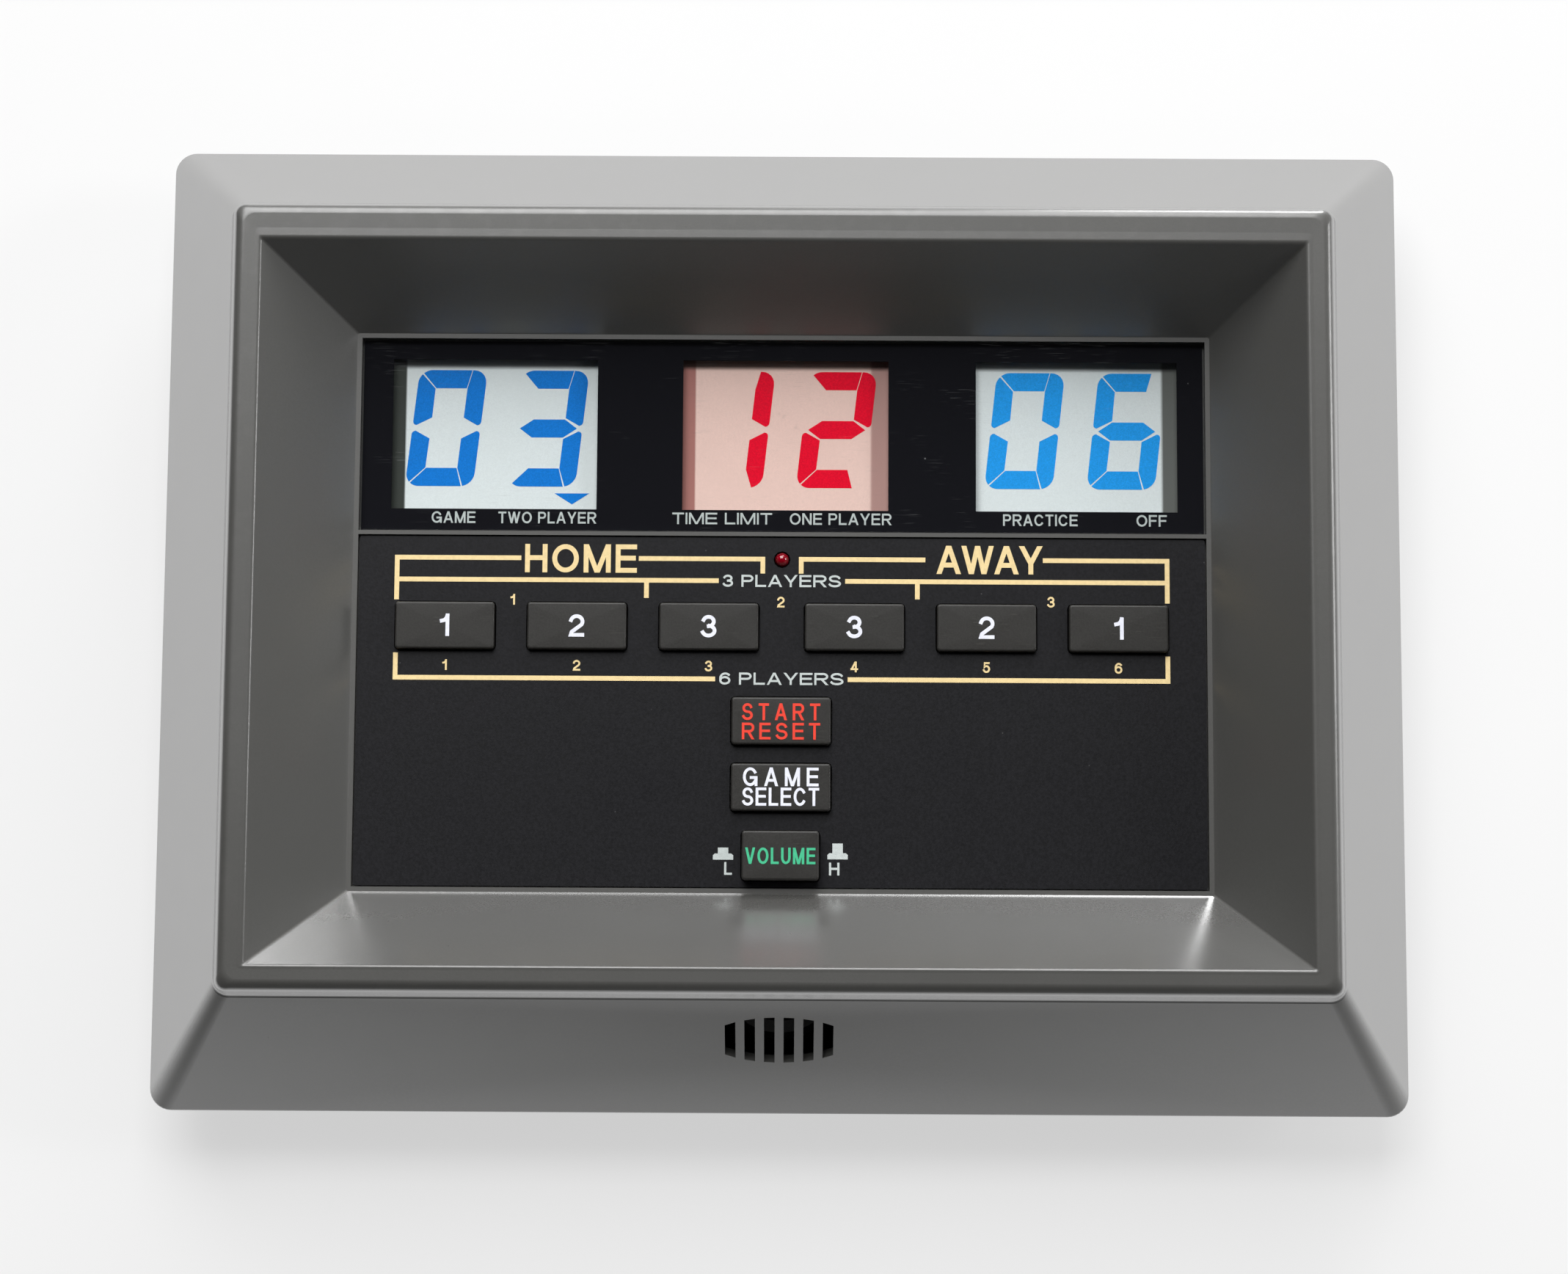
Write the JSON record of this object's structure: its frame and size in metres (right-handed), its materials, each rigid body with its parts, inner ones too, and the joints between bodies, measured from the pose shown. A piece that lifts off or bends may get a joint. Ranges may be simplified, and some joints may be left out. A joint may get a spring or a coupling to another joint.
{
  "type": "electronic scoreboard",
  "caption": "Battery-powered electronic scoreboard: raised frame round a sunken face with liquid-crystal score displays, push buttons, a status lamp and a speaker.",
  "frame": {"origin": "under the middle of the housing, on the surface it lies on (the bottoms of the four rubber feet)", "axes": "the scoreboard lies on its back: +Z out of the face, +X to the right of the face, +Y to the top of the face"},
  "size_m": [0.266, 0.2072, 0.047],
  "materials": {
    "housing": "satin grey, fine moulded grain",
    "rear_housing": "matte dark grey, spark-eroded grain",
    "clear_window": "clear acrylic, lightly scratched",
    "mask_black": "gloss black print",
    "panel_charcoal": "fine-textured charcoal sheet with pale print",
    "lcd_pale": "pale grey display with blue digits",
    "lcd_pink": "pale pink display with red digits",
    "frame_white": "plain moulded",
    "strip_grey": "soft striped contact strip",
    "board_green": "green solder mask",
    "chip_black": "moulded epoxy",
    "button_grey": "semi-matte, worn paler at the edges",
    "switch_black": "plain moulded",
    "led_red": "tinted clear resin",
    "speaker_metal": "pressed sheet",
    "speaker_cone": "treated paper",
    "magnet_grey": "plated",
    "cell_wrap": "plain printed sleeve",
    "spring_metal": "nickel-plated spring steel",
    "screw_zinc": "zinc-plated",
    "foot_rubber": "matte black",
    "lead_red": "smooth insulation",
    "lead_black": "smooth insulation"
  },
  "bodies": {
    "housing": {"front_bezel": "housing", "rear_cover": "rear_housing", "display_window": "clear_window", "window_mask": "mask_black", "control_panel": "panel_charcoal", "lcd_left": "lcd_pale", "lcd_center": "lcd_pink", "lcd_right": "lcd_pale", "lcd_frame": "frame_white", "contact_strip_left": "strip_grey", "contact_strip_center": "strip_grey", "contact_strip_right": "strip_grey", "main_board": "board_green", "controller_chip": "chip_black", "home_switch_1": "switch_black", "home_switch_2": "switch_black", "home_switch_3": "switch_black", "away_switch_1": "switch_black", "away_switch_2": "switch_black", "away_switch_3": "switch_black", "start_reset_switch": "switch_black", "select_switch": "switch_black", "volume_switch": "switch_black", "status_led": "led_red", "speaker_frame": "speaker_metal", "speaker_cone": "speaker_cone", "speaker_magnet": "magnet_grey", "battery_cell_1": "cell_wrap", "battery_cell_2": "cell_wrap", "battery_cell_3": "cell_wrap", "contact_left_outer": "spring_metal", "contact_left_inner": "spring_metal", "contact_right_outer": "spring_metal", "contact_right_inner": "spring_metal", "case_screw_1": "screw_zinc", "case_screw_2": "screw_zinc", "case_screw_3": "screw_zinc", "case_screw_4": "screw_zinc", "case_screw_5": "screw_zinc", "case_screw_6": "screw_zinc", "board_screw_1": "screw_zinc", "board_screw_2": "screw_zinc", "board_screw_3": "screw_zinc", "board_screw_4": "screw_zinc", "rubber_foot_1": "foot_rubber", "rubber_foot_2": "foot_rubber", "rubber_foot_3": "foot_rubber", "rubber_foot_4": "foot_rubber", "speaker_lead": "lead_black", "battery_lead": "lead_red"},
    "home_key_1": {"home_button_1": "button_grey"},
    "home_key_2": {"home_button_2": "button_grey"},
    "home_key_3": {"home_button_3": "button_grey"},
    "away_key_1": {"away_button_1": "button_grey"},
    "away_key_2": {"away_button_2": "button_grey"},
    "away_key_3": {"away_button_3": "button_grey"},
    "start_reset_key": {"start_reset_button": "button_grey"},
    "select_key": {"select_button": "button_grey"},
    "volume_key": {"volume_button": "button_grey"},
    "door": {"battery_door": "rear_housing"}
  },
  "joints": [
    {"name": "home_press_1", "type": "slide", "parent": "housing", "child": "home_key_1", "axis": [0, 0, -1], "range_m": [0, 0.0012], "stiffness_N_per_m": 1300},
    {"name": "home_press_2", "type": "slide", "parent": "housing", "child": "home_key_2", "axis": [0, 0, -1], "range_m": [0, 0.0012], "stiffness_N_per_m": 1300},
    {"name": "home_press_3", "type": "slide", "parent": "housing", "child": "home_key_3", "axis": [0, 0, -1], "range_m": [0, 0.0012], "stiffness_N_per_m": 1300},
    {"name": "away_press_1", "type": "slide", "parent": "housing", "child": "away_key_1", "axis": [0, 0, -1], "range_m": [0, 0.0012], "stiffness_N_per_m": 1300},
    {"name": "away_press_2", "type": "slide", "parent": "housing", "child": "away_key_2", "axis": [0, 0, -1], "range_m": [0, 0.0012], "stiffness_N_per_m": 1300},
    {"name": "away_press_3", "type": "slide", "parent": "housing", "child": "away_key_3", "axis": [0, 0, -1], "range_m": [0, 0.0012], "stiffness_N_per_m": 1300},
    {"name": "start_reset_press", "type": "slide", "parent": "housing", "child": "start_reset_key", "axis": [0, 0, -1], "range_m": [0, 0.0012], "stiffness_N_per_m": 1300},
    {"name": "select_press", "type": "slide", "parent": "housing", "child": "select_key", "axis": [0, 0, -1], "range_m": [0, 0.0012], "stiffness_N_per_m": 1300},
    {"name": "volume_press", "type": "slide", "parent": "housing", "child": "volume_key", "axis": [0, 0, -1], "range_m": [0, 0.0024]},
    {"name": "door_slide", "type": "slide", "parent": "housing", "child": "door", "axis": [0, -1, 0], "range_m": [0, 0.045]}
  ]
}
